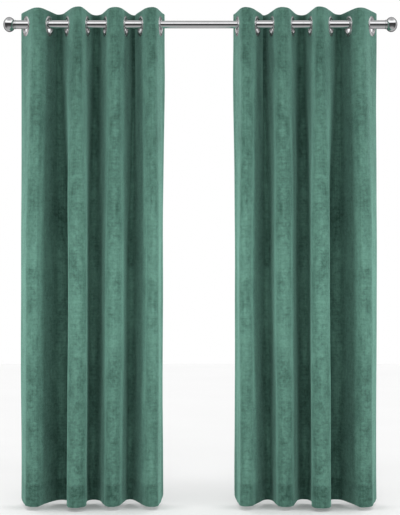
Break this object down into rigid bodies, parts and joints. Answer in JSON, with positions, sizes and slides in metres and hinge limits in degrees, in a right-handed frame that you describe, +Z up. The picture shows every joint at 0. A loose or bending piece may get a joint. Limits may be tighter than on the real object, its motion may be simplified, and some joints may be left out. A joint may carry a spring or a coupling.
{
  "type": "pair of velvet eyelet curtains on a curtain rod",
  "caption": "Pair of floor-length velvet eyelet curtains hanging in deep even folds from a telescopic chrome rod with ball finials.",
  "frame": {"origin": "on the curtain rod's axis, midway between its finials", "axes": "+X along the rod, -Y towards the room, +Z up"},
  "size_m": [1.2802, 0.1649, 1.602],
  "materials": {
    "velvet": "soft short pile with a matt sheen",
    "eyelet_chrome": "bright pressed metal",
    "rod_chrome": "mirror polished",
    "finial_chrome": "mirror polished"
  },
  "bodies": {
    "root": {"velvet_panel_left": "velvet", "eyelet_left_1_front": "eyelet_chrome", "eyelet_left_1_back": "eyelet_chrome", "eyelet_left_2_front": "eyelet_chrome", "eyelet_left_2_back": "eyelet_chrome", "eyelet_left_3_front": "eyelet_chrome", "eyelet_left_3_back": "eyelet_chrome", "eyelet_left_4_front": "eyelet_chrome", "eyelet_left_4_back": "eyelet_chrome", "eyelet_left_5_front": "eyelet_chrome", "eyelet_left_5_back": "eyelet_chrome", "eyelet_left_6_front": "eyelet_chrome", "eyelet_left_6_back": "eyelet_chrome", "eyelet_left_7_front": "eyelet_chrome", "eyelet_left_7_back": "eyelet_chrome", "eyelet_left_8_front": "eyelet_chrome", "eyelet_left_8_back": "eyelet_chrome", "velvet_panel_right": "velvet", "eyelet_right_1_front": "eyelet_chrome", "eyelet_right_1_back": "eyelet_chrome", "eyelet_right_2_front": "eyelet_chrome", "eyelet_right_2_back": "eyelet_chrome", "eyelet_right_3_front": "eyelet_chrome", "eyelet_right_3_back": "eyelet_chrome", "eyelet_right_4_front": "eyelet_chrome", "eyelet_right_4_back": "eyelet_chrome", "eyelet_right_5_front": "eyelet_chrome", "eyelet_right_5_back": "eyelet_chrome", "eyelet_right_6_front": "eyelet_chrome", "eyelet_right_6_back": "eyelet_chrome", "eyelet_right_7_front": "eyelet_chrome", "eyelet_right_7_back": "eyelet_chrome", "eyelet_right_8_front": "eyelet_chrome", "eyelet_right_8_back": "eyelet_chrome", "rod_tube_left": "rod_chrome", "rod_tube_right": "rod_chrome", "rod_tube_middle": "rod_chrome", "finial_left": "finial_chrome", "finial_right": "finial_chrome"}
  },
  "joints": []
}
